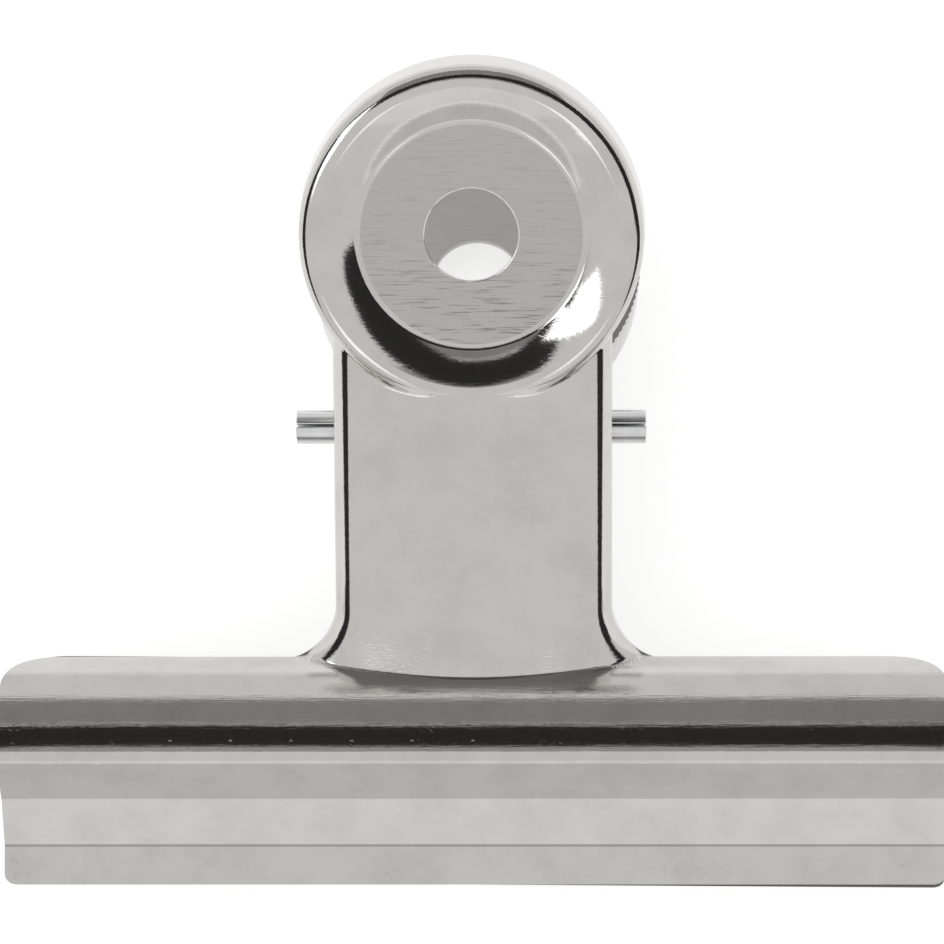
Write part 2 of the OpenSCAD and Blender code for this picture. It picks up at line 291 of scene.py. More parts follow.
# The outer roll between the rim and the crest, the rim's straight run, and the crest
rimLean = deg(disc["flare"])
rollDepth = disc["outer"] * (1 - math.sin(rimLean))
rollReach = disc["outer"] * math.cos(rimLean)
rimRun = (disc["rimDepth"] - rollDepth) / math.cos(rimLean)
crestRadius = disc["rimRadius"] - rimRun * math.sin(rimLean) - rollReach


def findFlatRadius():
    flat = crestRadius
    for radius, before, after in faceBends:
        flat -= radius * abs(math.sin(deg(after)) - math.sin(deg(before)))
    return flat


flatRadius = findFlatRadius()


def makeDisc(name, side, body, node, steps, ripple):
    bm = bmesh.new()
    moves = [(rimRun * share, 0, 0) for share in disc["rimRows"][:-1]]
    moves.append((rimRun * disc["rimRows"][-1], 90 - disc["flare"], disc["outer"]))
    moves += [(0, after - before, radius) for radius, before, after in faceBends]
    moves.append((flatRadius - disc["hole"], 0, 0))
    start = (disc["rimRadius"], -disc["rimDepth"])
    drawBentLine(bm, start, disc["flare"], moves, disc["bendStep"])
    bmesh.ops.spin(bm, geom=bm.verts[:] + bm.edges[:], cent=(0, 0, 0), axis=(0, 0, 1), angle=deg(360),
                   steps=steps, dvec=(0, 0, 0), use_merge=True, use_duplicate=False)
    bmesh.ops.remove_doubles(bm, verts=bm.verts, dist=weldGap)
    faceOutwards(bm, Vector((0, 0, 1)))
    # fine wrinkles that deep drawing leaves along the rim's free edge
    for v in bm.verts:
        low = (disc["rippleDepth"] - disc["rimDepth"] - v.co.z) / disc["rippleDepth"]
        if low > 0:
            wave = math.cos(disc["ripples"] * math.atan2(v.co.y, v.co.x)) - 1
            v.co.xy *= 1 + ripple * wave * smoothStep(low) / disc["rimRadius"]
    place = clipToRow(side) @ handleToClip() @ Matrix.Translation((0, disc["reach"], 0))
    piece = finishPiece(name, bm, place, body, node)
    giveThickness(piece, sheet["thickness"], sheet["edge"])
    return piece


frontDisc = makeDisc("front_disc", -1, "front_half", "front_plate",
                     disc["frontSteps"], disc["frontRipple"])
rearDisc = makeDisc("rear_disc", 1, "rear_half", "rear_plate",
                    disc["rearSteps"], disc["rearRipple"])
print("stage: discs, crest", round(crestRadius, 3), "flat", round(flatRadius, 3))

# Neck with its ears and flares. Places along it are measured from the pin's height. The fan is the
# part that spreads from fanStart to the disc's rim. Its sheet is a little thinner than the jaw's, so
# that its foot doesn't come through inside.
neck = {
    "frontWidth": 22, "rearWidth": 20.66, "crown": 38, "below": 0.055, "bend": 2.0, "flare": 4.4,
    "thinner": 0.06, "sunk": 0.03, "earRadius": 3.6, "earTuck": 0.25, "earShare": 0.8, "leastWall": 0.2,
    "tipBack": 0.14, "jawReach": 0.4, "earStart": -7.4, "fanStart": -0.3, "intoRim": 0.3,
    "footRows": 8, "earRows": 26, "fanRows": 20,
    "crownColumns": 14, "bendColumns": 14, "wallColumns": 4,
}

# Fillet between the neck and the jaw: smaller towards the sides, larger again in the corners
fillet = {
    "size": 0.3, "thin": 0.7, "thinRun": 12, "corner": 1.6, "cornerFrom": 11.3, "cornerRun": 2,
    "least": 0.08, "footRun": 1.2,
}

# Valley between the neck and the disc's ring
valley = {"least": 0.12, "size": 1.1, "from": 2.5, "run": 6}

# Painted shade: a dark line where the neck meets the jaw, wider and paler towards the sides
paintedShade = {
    "width": 0.2, "widen": 0.6, "widenRun": 9, "fade": 0.45, "fadeRun": 10, "above": 0.12, "end": 13,
}

nowhere = -9.0  # level that stands for no jaw and no ring here


def onHandle(point):
    # side-view point (out, up) as (along the handle, out of its face)
    lean = deg(handle["angle"])
    y = point[0] - handle["reach"]
    z = point[1] - rest["pivotHeight"]
    return y * math.sin(lean) + z * math.cos(lean), y * math.cos(lean) - z * math.sin(lean)


def jawLevel(along):
    # how high the jaw's back stands over the handle's crest line
    centre = onHandle(backCentre)
    gap = along - centre[0]
    inside = jaw["back"] ** 2 - gap ** 2
    return centre[1] + math.sqrt(inside) if inside > 0 and gap < jaw["back"] else nowhere


def brushing(point, centre, radius, side):
    # where a line from a point brushes past a circle
    away = (point[0] - centre[0], point[1] - centre[1])
    turn = math.atan2(away[1], away[0]) + side * math.acos(radius / math.hypot(*away))
    return centre[0] + radius * math.cos(turn), centre[1] + radius * math.sin(turn)


def earDepth(along):
    # level of the ears' free edge: from the jaw's top edge, round the pin, to the rim
    pivot = onHandle((0, rest["pivotHeight"]))
    tilt = deg(jaw["backEnd"])
    tuck = neck["earTuck"] * sheet["thickness"]
    tipOut = jawTop[0] - tuck * (math.cos(tilt) - math.sin(tilt))
    tipUp = jawTop[1] - tuck * (math.sin(tilt) + math.cos(tilt))
    low = onHandle((tipOut, tipUp))
    legCut = math.sqrt(disc["rimRadius"] ** 2 - (neck["frontWidth"] / 2) ** 2) - sheet["thickness"]
    high = (disc["reach"] - legCut, -neck["earShare"] * disc["rimDepth"])
    first = brushing(low, pivot, neck["earRadius"], 1)
    last = brushing(high, pivot, neck["earRadius"], -1)
    if along < first[0]:
        part = (along - low[0]) / (first[0] - low[0])
        return low[1] + part * (first[1] - low[1])
    if along > last[0]:
        part = (along - last[0]) / (high[0] - last[0])
        return last[1] + part * (high[1] - last[1])
    return pivot[1] - math.sqrt(max(neck["earRadius"] ** 2 - (along - pivot[0]) ** 2, 0))


def rimReach(level):
    # radius of the disc's outer skin at some depth under its crest
    if level > -rollDepth:
        return crestRadius + math.sqrt(max(disc["outer"] ** 2 - (disc["outer"] + level) ** 2, 0))
    fall = -level - rollDepth
    return crestRadius + rollReach + fall * math.tan(rimLean)


def raised(low, high, k):
    # the higher of two levels with a fillet between them, sunk a little where the second one is on top
    mix = max(k - abs(high - low), 0) / k
    return max(low, high) + mix * mix * k / 4 - neck["sunk"] * smoothStep((high - low) / k)


def ringLevel(x, along):
    # level of the disc's outer roll over the handle's crest line
    out = math.hypot(x, along - disc["reach"]) - crestRadius
    if out < 0:
        return 0.0
    if out < rollReach:
        return math.sqrt(disc["outer"] ** 2 - out * out) - disc["outer"]
    return nowhere


def creaseShadeTone(x, rise):
    # rise is how high the jaw's back stands over the neck
    if x >= paintedShade["end"]:
        return 0.0
    width = paintedShade["width"] * (1 + paintedShade["widen"] * smoothStep(x / paintedShade["widenRun"]))
    tone = 1 - paintedShade["fade"] * smoothStep(x / paintedShade["fadeRun"])
    return tone * math.exp(-((rise - paintedShade["above"]) / width) ** 2)


def filletSize(x, fromEnd):
    # the fillet dies out before the foot ends, so the foot stays under the jaw's skin
    size = fillet["size"] * (1 - fillet["thin"] * smoothStep(x / fillet["thinRun"]))
    size += fillet["corner"] * smoothStep((x - fillet["cornerFrom"]) / fillet["cornerRun"])
    return fillet["least"] + (size - fillet["least"]) * smoothStep(fromEnd / fillet["footRun"])


def makeNeck(name, side, body, node, width):
    tipAlong = onHandle(jawTop)[0] - neck["tipBack"]
    flare = neck["flare"]
    bend = neck["bend"]
    hub = (width / 2 + flare, tipAlong + flare)
    footRun = neck["earStart"] - hub[1]
    earRun = neck["fanStart"] - neck["earStart"]
    feet, ears, fans = neck["footRows"], neck["earRows"], neck["fanRows"]
    rows = [("flare", t) for t in range(90, 0, -1)]
    rows += [("plain", hub[1] + footRun * i / feet) for i in range(feet + 1)]
    rows += [("plain", neck["earStart"] + earRun * i / ears) for i in range(1, ears + 1)]
    rows += [("fan", i / fans) for i in range(1, fans + 1)]
    crownCount = neck["crownColumns"]
    bendCount = neck["bendColumns"]
    half = crownCount + bendCount + neck["wallColumns"]
    bm = bmesh.new()
    bmesh.ops.create_grid(bm, x_segments=2 * half, y_segments=len(rows) - 1, size=1)
    paintedShadeLayer = bm.verts.layers.float.new("paintedShade")

    def plan(column, kind, value):
        # place seen from above, drop below the crown and share of the wall
        k = abs(column)
        turn = math.pi / 2 * min(max((k - crownCount) / bendCount, 0), 1)
        inset = bend * (1 - math.sin(turn))
        wall = max(k - crownCount - bendCount, 0) / neck["wallColumns"]
        if kind == "flare":
            way = deg(value)
            x = hub[0] - (flare + inset) * math.cos(way)
            along = hub[1] - (flare + inset) * math.sin(way)
        else:
            x = width / 2 - inset
            along = value
        if k < crownCount:
            x *= k / crownCount
        return x, along, bend * (1 - math.cos(turn)), wall

    for v in bm.verts:
        column = round(v.co.x * half)
        kind, value = rows[round((v.co.y + 1) / 2 * (len(rows) - 1))]
        x, along, drop, wall = plan(column, kind, neck["fanStart"] if kind == "fan" else value)
        h = math.sqrt(neck["crown"] ** 2 - x * x) - neck["crown"] - neck["below"] - drop
        if kind == "fan":
            low = h + wall * (-neck["earShare"] * disc["rimDepth"] - h)
            end = disc["reach"] - math.sqrt(max((rimReach(low) - neck["intoRim"]) ** 2 - x * x, 0))
            along += value * (end - along)
        if kind == "flare":
            h = max(h, earDepth(max(along, tipAlong)))
        onJaw = jawLevel(along) if along < tipAlong + neck["jawReach"] else nowhere
        if onJaw > nowhere:
            # painted shade along the line where the neck meets the jaw
            v[paintedShadeLayer] = creaseShadeTone(x, onJaw - h)
            footEnd = plan(column, "flare", 90)[1]
            h = raised(h, onJaw, filletSize(x, along - footEnd))
        onRing = ringLevel(x, along)
        if onRing > nowhere and wall == 0:
            size = valley["least"] + valley["size"] * smoothStep((x - valley["from"]) / valley["run"])
            h = raised(h, onRing, size)
        if wall > 0:
            h += wall * (min(earDepth(max(along, tipAlong)), h - neck["leastWall"]) - h)
        v.co = Vector((x if column > 0 else -x, along, h))
    faceOutwards(bm, Vector((0, 0, 1)))
    piece = finishPiece(name, bm, clipToRow(side) @ handleToClip(), body, node)
    giveThickness(piece, sheet["thickness"] - neck["thinner"], sheet["edge"])
    return piece


frontNeck = makeNeck("front_neck", -1, "front_half", "front_plate", neck["frontWidth"])
rearNeck = makeNeck("rear_neck", 1, "rear_half", "rear_plate", neck["rearWidth"])
print("stage: necks")

# Hinge pin, rolled from strip with its seam to the front
pin = {
    "shift": -0.25, "radius": 1.35, "length": 28.1, "wall": 0.5, "seam": 0.22, "steps": 64,
    "edge": 0.16, "edgeSegments": 3,
}


def makePin():
    bm = bmesh.new()
    slit = math.degrees(pin["seam"] / pin["radius"])
    start = bmesh.ops.create_vert(bm, co=(0, -pin["radius"], 0))["vert"]
    bmesh.ops.rotate(bm, verts=start, cent=(0, 0, 0), matrix=Matrix.Rotation(deg(slit / 2), 3, "X"))
    bmesh.ops.spin(bm, geom=start, cent=(0, 0, 0), axis=(1, 0, 0), angle=deg(360 - slit),
                   steps=pin["steps"], dvec=(0, 0, 0), use_merge=False, use_duplicate=False)
    bmesh.ops.translate(bm, verts=bm.verts, vec=(-pin["length"] / 2, 0, 0))
    pull(bm, bm.edges[:], (pin["length"], 0, 0))
    bmesh.ops.recalc_face_normals(bm, faces=bm.faces)
    first = bm.faces[:][0]
    if first.normal.dot(first.calc_center_median() * Vector((0, 1, 1))) < 0:
        bmesh.ops.reverse_faces(bm, faces=bm.faces)
    place = clipToRow(1) @ Matrix.Translation((pin["shift"], 0, rest["pivotHeight"]))
    piece = finishPiece("hinge_tube", bm, place, "rear_half", "hinge_pin")
    giveThickness(piece, pin["wall"], pin["edge"], inner=0, segments=pin["edgeSegments"])
    return piece


hingeTube = makePin()
print("stage: pin")

# Torsion spring: coil round the pin, an arm to each handle
spring = {
    "wire": 0.7, "sides": 16, "coil": 2.33, "turns": 8.2222, "stepsPerTurn": 48, "armX": 8.23,
    "armAngle": 50, "footBend": 1.6, "bendSteps": 8, "foot": 2.4, "footLevel": 2.58,
    "capInset": 0.12, "capRise": 0.1,
}


def makeSpring():
    lean = deg(handle["angle"])
    armAngle = deg(spring["armAngle"])
    bm = bmesh.new()
    ring = bmesh.ops.create_circle(bm, cap_ends=False, radius=spring["wire"],
                                   segments=spring["sides"])["verts"]
    bmesh.ops.translate(bm, verts=ring, vec=(0, spring["coil"], 0))
    bmesh.ops.rotate(bm, verts=ring, cent=(0, 0, 0), matrix=Matrix.Rotation(-armAngle, 3, "X"))
    bmesh.ops.translate(bm, verts=ring, vec=(-spring["armX"], 0, 0))
    startRing = bm.edges[:]
    steps = round(spring["stepsPerTurn"] * spring["turns"])
    spun = bmesh.ops.spin(bm, geom=ring + startRing, cent=(0, 0, 0), axis=(1, 0, 0), steps=steps,
                          angle=-deg(360 * spring["turns"]), dvec=(2 * spring["armX"] / steps, 0, 0),
                          use_merge=False, use_duplicate=False)
    endRing = edgesOf(spun["geom_last"])

    def addArm(edges, rear):
        # straight arm off the coil, a bend, and a foot under the handle's face
        way = Vector((0, rear * math.sin(armAngle), math.cos(armAngle)))
        inward = Vector((0, -rear * math.cos(armAngle), math.sin(armAngle)))
        along = Vector((0, rear * math.sin(lean), math.cos(lean)))
        out = Vector((0, rear * math.cos(lean), -math.sin(lean)))
        root = Vector((0, rear * math.cos(armAngle), -math.sin(armAngle))) * spring["coil"]
        base = Vector((0, rear * handle["reach"], 0))
        reach = (-spring["footLevel"] - (root - base).dot(out)) / way.dot(out)
        turn = spring["armAngle"] - handle["angle"]
        verts, edges = pull(bm, edges, way * (reach - spring["footBend"] * math.tan(deg(turn / 2))))
        middle = sum((v.co for v in verts), Vector()) / len(verts)
        spun = bmesh.ops.spin(bm, geom=verts + edges, cent=middle + inward * spring["footBend"],
                              axis=(rear, 0, 0), angle=deg(turn), steps=spring["bendSteps"],
                              dvec=(0, 0, 0), use_merge=False, use_duplicate=False)
        edges = pull(bm, edgesOf(spun["geom_last"]), along * spring["foot"])[1]
        cap = bmesh.ops.edgeloop_fill(bm, edges=edges)["faces"]
        bmesh.ops.inset_region(bm, faces=cap, thickness=spring["capInset"], depth=spring["capRise"])

    addArm(startRing, 1)
    addArm(endRing, -1)
    bmesh.ops.remove_doubles(bm, verts=bm.verts, dist=weldGap)
    bmesh.ops.recalc_face_normals(bm, faces=bm.faces)
    place = clipToRow(1) @ Matrix.Translation((0, 0, rest["pivotHeight"]))
    piece = finishPiece("spring_wire", bm, place, None, "torsion_spring")
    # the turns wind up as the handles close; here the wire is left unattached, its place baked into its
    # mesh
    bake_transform(piece)
    return piece


springWire = makeSpring()
print("stage: spring")

# Camera: where it stands from the rear plate's upright frame, with its focal length in pixels
shot = {
    "azimuth": 1.05, "elevation": -5.3, "distance": 370, "target": (-0.2, 0, 33.05), "focal": 4600,
    "sensor": 36, "frame": 944, "near": 0.01,
}


def makeCamera():
    toRow = clipToRow(1)
    turn = toRow.to_3x3().normalized()
    a = deg(shot["azimuth"])
    e = deg(shot["elevation"])
    back = turn @ Vector((math.sin(a) * math.cos(e), -math.cos(a) * math.cos(e), math.sin(e)))
    up = turn @ Vector((0, 0, 1))
    right = up.cross(back).normalized()
    up = back.cross(right)
    camData = bpy.data.cameras.new("camera")
    camData.sensor_width = shot["sensor"]
    camData.lens = shot["focal"] * shot["sensor"] / shot["frame"]
    camData.clip_start = shot["near"]
    cam = bpy.data.objects.new("camera", camData)
    bpy.context.scene.collection.objects.link(cam)
    spot = toRow @ Vector(shot["target"]) + back * shot["distance"] * mm
    turned = Matrix((right, up, back)).transposed().to_4x4()
    cam.matrix_world = Matrix.Translation(spot) @ turned
    bpy.context.scene.camera = cam


makeCamera()
print("stage: camera")

# Materials


def putNode(tree, kind, settings=None, values=None, out=0):
    # any node: its settings first, then the values or links of its sockets
    made = tree.nodes.new(kind)
    for key, value in (settings or {}).items():
        setattr(made, key, value)
    for key, value in (values or {}).items():
        if isinstance(value, Field):
            tree.links.new(value.socket, made.inputs[key])
        else:
            made.inputs[key].default_value = value
    return Field(tree, made.outputs[out])


class Field:
    # a number or vector socket that can be used in plain sums

    def __init__(self, tree, socket):
        self.tree = tree
        self.socket = socket

    def math(self, operation, *others):
        values = dict(enumerate((self,) + others))
        return putNode(self.tree, "ShaderNodeMath", {"operation": operation}, values)

    def reversedMath(self, operation, other):
        return putNode(self.tree, "ShaderNodeMath", {"operation": operation}, {0: other, 1: self})

    def __add__(self, other):
        return self.math("ADD", other)

    def __radd__(self, other):
        return self.reversedMath("ADD", other)

    def __sub__(self, other):
        return self.math("SUBTRACT", other)

    def __rsub__(self, other):
        return self.reversedMath("SUBTRACT", other)

    def __mul__(self, other):
        return self.math("MULTIPLY", other)

    def __rmul__(self, other):
        return self.reversedMath("MULTIPLY", other)

    def __truediv__(self, other):
        return self.math("DIVIDE", other)

    def __rtruediv__(self, other):
        return self.reversedMath("DIVIDE", other)

    def ramp(self, low, high):
        # 0 below low, 1 above high, smooth between them
        return putNode(self.tree, "ShaderNodeMapRange", {"interpolation_type": "SMOOTHSTEP"},
                       {"Value": self, "From Min": low, "From Max": high}, "Result")


class Shading:
    # one material's nodes; put() adds any node, the rest are short forms of it

    def __init__(self, name):
        self.material = bpy.data.materials.new(name)
        self.material.use_nodes = True
        self.tree = self.material.node_tree
        self.tree.nodes.clear()
        self.output = self.tree.nodes.new("ShaderNodeOutputMaterial")

    def put(self, kind, settings=None, values=None, out=0):
        return putNode(self.tree, kind, settings, values, out)

    def place(self):
        return self.put("ShaderNodeTexCoord", out="Object")

    def axis(self, where, index):
        return self.put("ShaderNodeSeparateXYZ", None, {"Vector": where}, index)

    def stretched(self, where, scale):
        return self.put("ShaderNodeVectorMath", {"operation": "MULTIPLY"}, {0: where, 1: scale})

    def noise(self, where, scale=1.0, detail=2.0, roughness=0.5):
        values = {"Vector": where, "Scale": scale, "Detail": detail, "Roughness": roughness}
        return self.put("ShaderNodeTexNoise", {"noise_dimensions": "3D"}, values)

    def mixColour(self, factor, first, second):
        values = {"Factor": factor, 6: first, 7: second}
        return self.put("ShaderNodeMix", {"data_type": "RGBA"}, values, 2)

    def bump(self, height, distance, strength=1.0):
        values = {"Height": height, "Distance": distance, "Strength": strength}
        return self.put("ShaderNodeBump", None, values)

    def nearMiddle(self, where, side, low, high):
        # 1 round the middle of a thumb disc's flat up to the radius low, 0 from the radius high on
        middle = clipToRow(side) @ handleToClip() @ Vector((0, disc["reach"], -disc["recess"]))
        gap = self.put("ShaderNodeVectorMath", {"operation": "DISTANCE"}, {0: where, 1: middle}, 1)
        return 1 - gap.ramp(low * mm, high * mm)

    def metal(self, colour, metallic, rough, normal):
        return self.finish(self.put("ShaderNodeBsdfPrincipled", None, {
            "Base Color": colour, "Metallic": metallic, "Roughness": rough, "Normal": normal}))

    def glow(self, strength):
        return self.put("ShaderNodeEmission", None, {"Color": (1, 1, 1, 1), "Strength": strength})

    def finish(self, shader):
        self.tree.links.new(shader.socket, self.output.inputs["Surface"])
        return self.material


# Small tool marks in a row along the left half of the front jaw's shoulder. Shoulder is how far out
# and up they lie on the upright clip, tick is a share of the pitch, start and end are in metres.
nicks = {
    "shoulder": (7.08, 11.47), "pitch": 4.76, "tick": (0.015, 0.045), "slant": 3, "line": (0.1, 0.28),
    "start": (-0.027, -0.025), "end": (0.001, 0.002), "depth": 9,
}


def nickMask(shade, where):
    row = clipToRow(-1) @ Vector((0, *nicks["shoulder"]))
    x = shade.axis(where, 0)
    y = shade.axis(where, 1)
    step = x / mm / nicks["pitch"] + 0.5
    part = (step - step.math("FLOOR") - 0.5).math("ABSOLUTE")
    onTick = 1 - part.ramp(*nicks["tick"])
    onLine = 1 - (y / mm - row.y / mm + part * nicks["slant"]).math("ABSOLUTE").ramp(*nicks["line"])
    leftHalf = (1 - x.ramp(*nicks["end"])) * x.ramp(*nicks["start"])
    return onTick * onLine * leftHalf


# Bright nickel plate: drawing streaks along the jaws, fine grain and handling scratches. Scales and
# places are in metres, depths in bumpUnit. The flat of each disc is darker, with stronger streaks in
# its lower half. The jaw's back is brushed more, which breaks up the edges of what it mirrors.
nickel = {
    "colour": (0.645, 0.632, 0.605, 1), "dull": (0.585, 0.572, 0.545, 1),
    # the inside's paler colours are painted light that lifts the inside seen through the hole; its
    # rougher, less metal finish is the sheet's duller back
    "inner": (0.88, 0.865, 0.835, 1), "innerDull": (0.8, 0.785, 0.755, 1),
    "flat": (0.49, 0.48, 0.46, 1), "line": (0.2, 0.195, 0.185, 1),
    # the near-black colour below is painted shade for the dark lines and edges; the near-white one is a
    # painted highlight round the front disc's hole
    "paintedShade": (0.07, 0.068, 0.064, 1), "wearAndHighlight": (1, 0.99, 0.97, 1),
    "roughness": 0.07, "innerRoughness": 0.6, "innerMetal": 0.4, "bumpUnit": 0.000001,
    "grainRoughness": 0.03, "scratchRoughness": 0.1, "flatRoughness": 0.05,
    "streak": (330.0, 6800.0, 6800.0), "streakDepth": 3.2, "grain": 3000.0, "grainDepth": 3.2,
    "wave": (45.0, 130.0, 130.0), "waveDepth": 42.0, "mottle": 260.0, "dullFrom": (0.35, 0.75),
    "scratch": (90.0, 5200.0, 5200.0), "scratchTurn": (0.5, 0.35, 0.6), "scratchDepth": 2.4,
    "scratchFrom": (0.62, 0.72), "scratchPatch": (0.45, 0.65),
    "flatEdge": (-0.12, 0.02), "flatTint": 0.8, "flatStreaks": 0.9, "lineFrom": (0.54, 0.66),
    "lineLeast": 0.15, "lineHalf": (0.003, 0.015), "holeEdge": (0.05, 0.13), "highlightPatch": (0.4, 0.5),
    "backStart": (-0.0235, -0.0205), "backEnd": (-0.0155, -0.0145), "backStreaks": 1.6,
}


def makeNickel(name, roughness, bright, dull, metallic, mark):
    # mark names the attribute that holds where this face of the sheet has painted shade: its dark line
    # or edge
    shade = Shading(name)
    where = shade.place()
    along = shade.axis(where, 1)
    streaks = shade.noise(shade.stretched(where, nickel["streak"]), 1.0, 3.0, 0.6)
    grain = shade.noise(where, nickel["grain"], 2.0, 0.55)
    wave = shade.noise(shade.stretched(where, nickel["wave"]), 1.0, 1.0, 0.4)
    mottle = shade.noise(where, nickel["mottle"], 4.0, 0.6)

    low, high = (flatRadius + step for step in nickel["flatEdge"])
    frontFlat = shade.nearMiddle(where, -1, low, high)
    rearFlat = shade.nearMiddle(where, 1, low, high)
    flat = frontFlat.math("MAXIMUM", rearFlat)

    turned = shade.put("ShaderNodeVectorRotate", {"rotation_type": "EULER_XYZ"},
                       {"Vector": where, "Rotation": nickel["scratchTurn"]})
    scratchLine = shade.noise(shade.stretched(turned, nickel["scratch"]), 1.0, 2.0, 0.5)
    scratch = scratchLine.ramp(*nickel["scratchFrom"]) * mottle.ramp(*nickel["scratchPatch"])

    lower = 1 - along.ramp(*nickel["lineHalf"])
    lineShare = nickel["lineLeast"] + lower * (1 - nickel["lineLeast"])
    darkStreak = streaks.ramp(*nickel["lineFrom"]) * flat * lineShare
    # painted highlight: a thin near-white ring round the front disc's hole, broken into patches
    low, high = (disc["hole"] + step for step in nickel["holeEdge"])
    wearAndHighlight = shade.nearMiddle(where, -1, low, high) * mottle.ramp(*nickel["highlightPatch"])
    dark = shade.put("ShaderNodeAttribute", {"attribute_name": mark}, None, 2)

    colour = shade.mixColour(mottle.ramp(*nickel["dullFrom"]), bright, dull)
    # painted shade: the mark attribute darkens the colour towards a near-black tone
    colour = shade.mixColour(dark, colour, nickel["paintedShade"])
    colour = shade.mixColour(flat * nickel["flatTint"], colour, nickel["flat"])
    colour = shade.mixColour(darkStreak, colour, nickel["line"])
    colour = shade.mixColour(wearAndHighlight, colour, nickel["wearAndHighlight"])

    rough = roughness + grain * nickel["grainRoughness"] + scratch * nickel["scratchRoughness"]
    rough = rough + flat * nickel["flatRoughness"]

    onBack = along.ramp(*nickel["backStart"]) * (1 - along.ramp(*nickel["backEnd"]))
    brushed = 1 + flat * nickel["flatStreaks"] + onBack * nickel["backStreaks"]
    height = streaks * nickel["streakDepth"] * brushed + grain * nickel["grainDepth"]
    height = height + wave * nickel["waveDepth"] - scratch * nickel["scratchDepth"]
    height = height + nickMask(shade, where) * nicks["depth"]
    return shade.metal(colour, metallic, rough, shade.bump(height, nickel["bumpUnit"]))


# Plated strip of the pin and drawn wire of the spring
smallMetals = {
    "pin": {
        "colour": (0.8, 0.805, 0.81, 1), "wearAndHighlight": (0.68, 0.68, 0.68, 1), "roughness": 0.2,
        "streak": (80.0, 2600.0, 2600.0),
    },
    "wire": {
        "colour": (0.42, 0.42, 0.41, 1), "wearAndHighlight": (0.3, 0.295, 0.285, 1), "roughness": 0.3,
        "streak": (1500.0, 1500.0, 1500.0),
    },
    "spots": 700.0, "lineShare": 0.6, "wornFrom": (0.4, 0.65), "spotRoughness": 0.12,
    "bumpUnit": 0.00001, "bumpStrength": 0.5,
}


def makeSmallMetal(name, look):
    shade = Shading(name)
    where = shade.place()
    lines = shade.noise(shade.stretched(where, look["streak"]), 1.0, 3.0, 0.6)
    spots = shade.noise(where, smallMetals["spots"], 3.0, 0.6)
    pattern = lines * smallMetals["lineShare"] + spots * (1 - smallMetals["lineShare"])
    colour = shade.mixColour(pattern.ramp(*smallMetals["wornFrom"]), look["colour"], look["wearAndHighlight"])
    rough = look["roughness"] + spots * smallMetals["spotRoughness"]
    normal = shade.bump(pattern, smallMetals["bumpUnit"], smallMetals["bumpStrength"])
    return shade.metal(colour, 1.0, rough, normal)


plateNickel = makeNickel("bright_nickel", nickel["roughness"],
                         nickel["colour"], nickel["dull"], 1.0, "paintedShade")
innerNickel = makeNickel("inner_nickel", nickel["innerRoughness"],
                         nickel["inner"], nickel["innerDull"], nickel["innerMetal"], "inside")
pinZinc = makeSmallMetal("pin_plate", smallMetals["pin"])
springSteel = makeSmallMetal("spring_wire_steel", smallMetals["wire"])
for plate in (frontJaw, rearJaw, frontDisc, rearDisc, frontNeck, rearNeck):
    plate.data.materials.append(plateNickel)
    plate.data.materials.append(innerNickel)
hingeTube.data.materials.append(pinZinc)
springWire.data.materials.append(springSteel)
nodeMetals = {"hinge_pin": pinZinc, "torsion_spring": springSteel}
for name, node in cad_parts.items():
    node.data.materials.clear()
    node.data.materials.append(nodeMetals.get(name, plateNickel))
print("stage: materials")

# Studio: an even pale room, a white floor, and boards that only reflections see. Lengths in metres
studio = {
    "room": 0.8, "floorSize": 3, "floorDrop": 0.00005, "floorColour": 0.5, "floorGlow": 0.67,
    "glossShare": 0.85, "middle": (0, 0, 0.015), "boardDistance": 0.8,
    "lamp": 5.0, "lampSize": 1.4, "lampWay": (-30, -20), "lampDistance": 1.6,
}

# A grey card lying before the lips, which the high flank mirrors
frontCard = {"tone": 0.68, "size": (0.8, 0.411), "place": (0, -0.2395, 0.0001)}

# Board: angle from straight up, angle to the right, angle across, angle along, tone (0 is black)
boards = {
    "back_flag": (38, 0, 70, 31, 0.28),
    "left_window": (0, -46, 26, 27, 2.2),
    "upper_window": (-60.5, -20, 16, 16, 1.5),
    "side_window": (-59, 15, 12, 14, 1.3),
    "edge_flag": (-6, 0, 34, 8, 0.4),
    "low_window": (-79, 0, 44, 18, 0.92),
}

# Black arch round the lamp: what the rolled edges and the jaw's shoulder show as their dark lines.
# Each row: place round the arch, the slopes between which a surface mirrors it, and its distance.
arch = {
    "tone": 0.03, "columns": 4,
    "rows": [
        (-14, 35.4, 48.5, 0.14), (0, 35.4, 48.5, 0.14), (12, 35, 47, 0.15), (17, 29, 44, 0.2),
        (24, 27.5, 43, 0.35), (37, 26.3, 42, 0.6), (57, 23, 38, 0.85), (75, 21, 34, 0.85),
        (84, 20.3, 32.3, 0.85), (96, 20.3, 32.3, 0.85), (110, 21, 33, 0.9), (119, 22, 35, 1.0),
        (125, 25, 37, 1.0), (132, 33.8, 40, 1.0), (146, 34.6, 42, 0.7), (160, 35.4, 47, 0.2),
        (180, 35.4, 48.5, 0.14), (194, 35.4, 48.5, 0.14),
    ],
}


def makeRoom():
    world = bpy.data.worlds.new("studio")
    bpy.context.scene.world = world
    world.use_nodes = True
    tree = world.node_tree
    background = tree.nodes["Background"]
    background.inputs["Color"].default_value = (1, 1, 1, 1)
    seen = putNode(tree, "ShaderNodeLightPath", out="Is Camera Ray")
    level = seen * (1 - studio["room"]) + studio["room"]
    tree.links.new(level.socket, background.inputs["Strength"])


